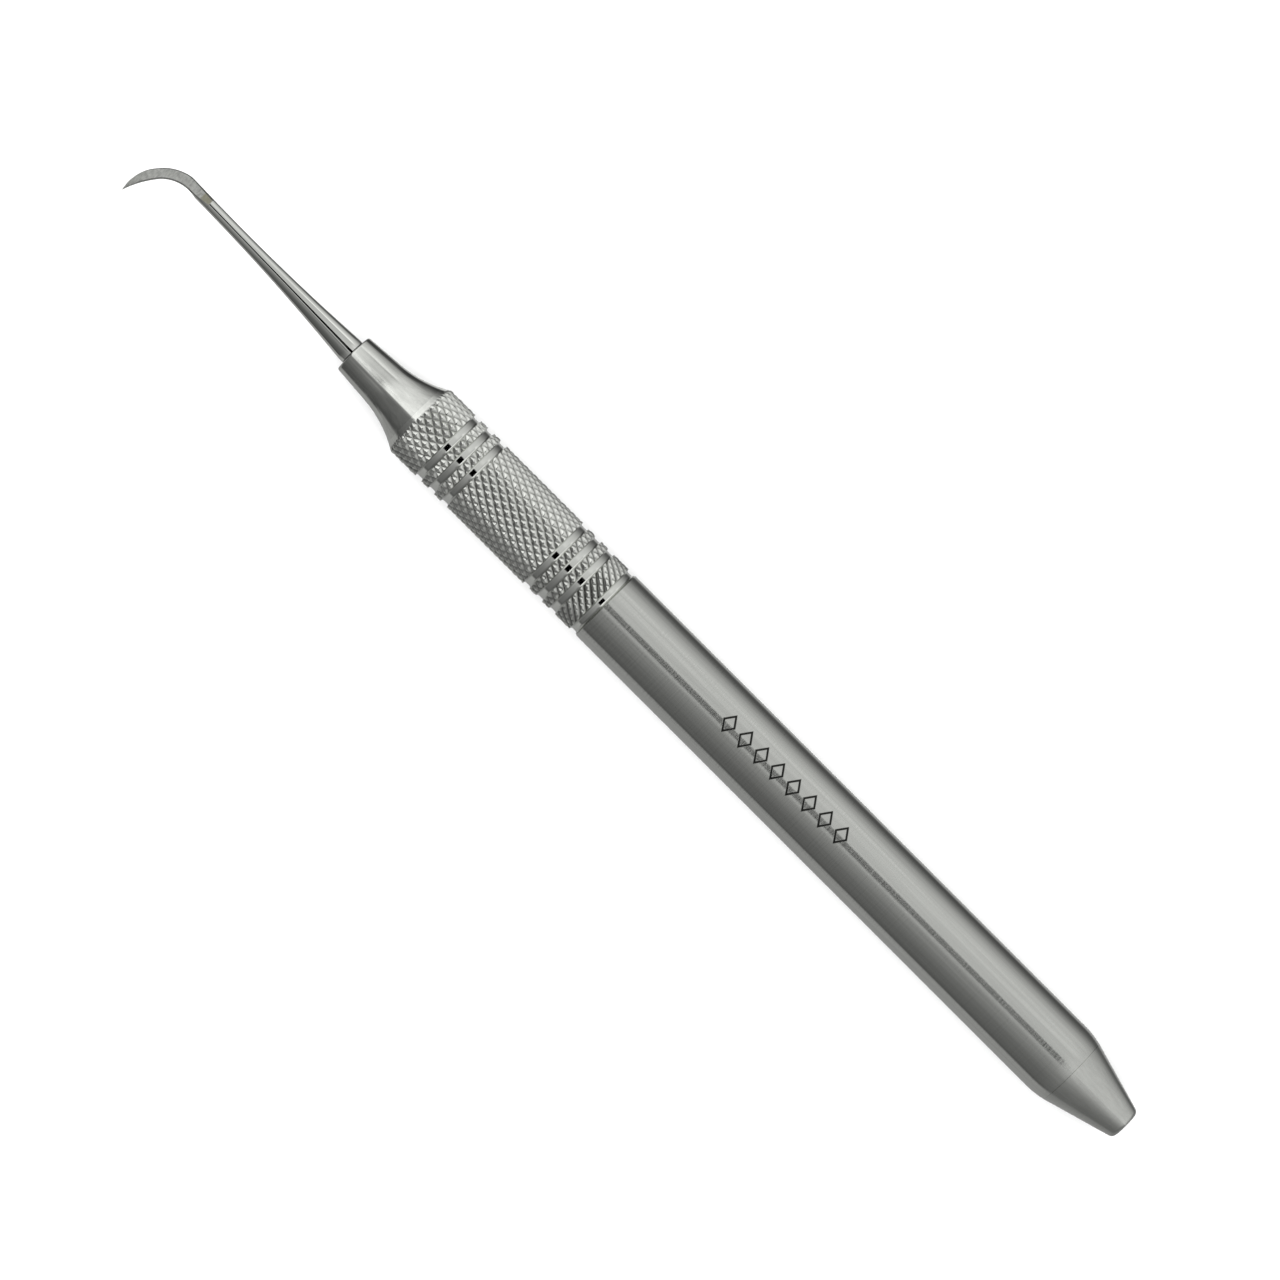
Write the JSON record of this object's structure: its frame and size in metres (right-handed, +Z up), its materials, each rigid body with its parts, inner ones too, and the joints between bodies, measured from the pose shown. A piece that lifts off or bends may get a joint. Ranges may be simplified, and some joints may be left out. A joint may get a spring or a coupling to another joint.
{
  "type": "hand scaler",
  "caption": "Single-ended sickle scaler for dental work: curved blade on a slim shank, knurled grip with turned grooves, hollow satin steel barrel and tapered tail.",
  "frame": {"origin": "on the table the tool lies on, under the handle's axis at the middle of the tool's length", "axes": "+X along the handle towards the blade, +Y the side the blade hooks towards, +Z up from the table"},
  "size_m": [0.1559, 0.0104, 0.0097],
  "materials": {
    "polished_steel": "polished stainless shank, blade ground with fine cross scratches",
    "knurled_steel": "bright knurled stainless with polished grooves and nose",
    "satin_steel": "satin stainless with fine lengthwise grain",
    "satin_steel_tail": "satin stainless, turned taper"
  },
  "bodies": {
    "root": {"scaler_tip": "polished_steel", "grip": "knurled_steel", "barrel_tube": "satin_steel", "tail_plug": "satin_steel_tail"}
  },
  "joints": []
}
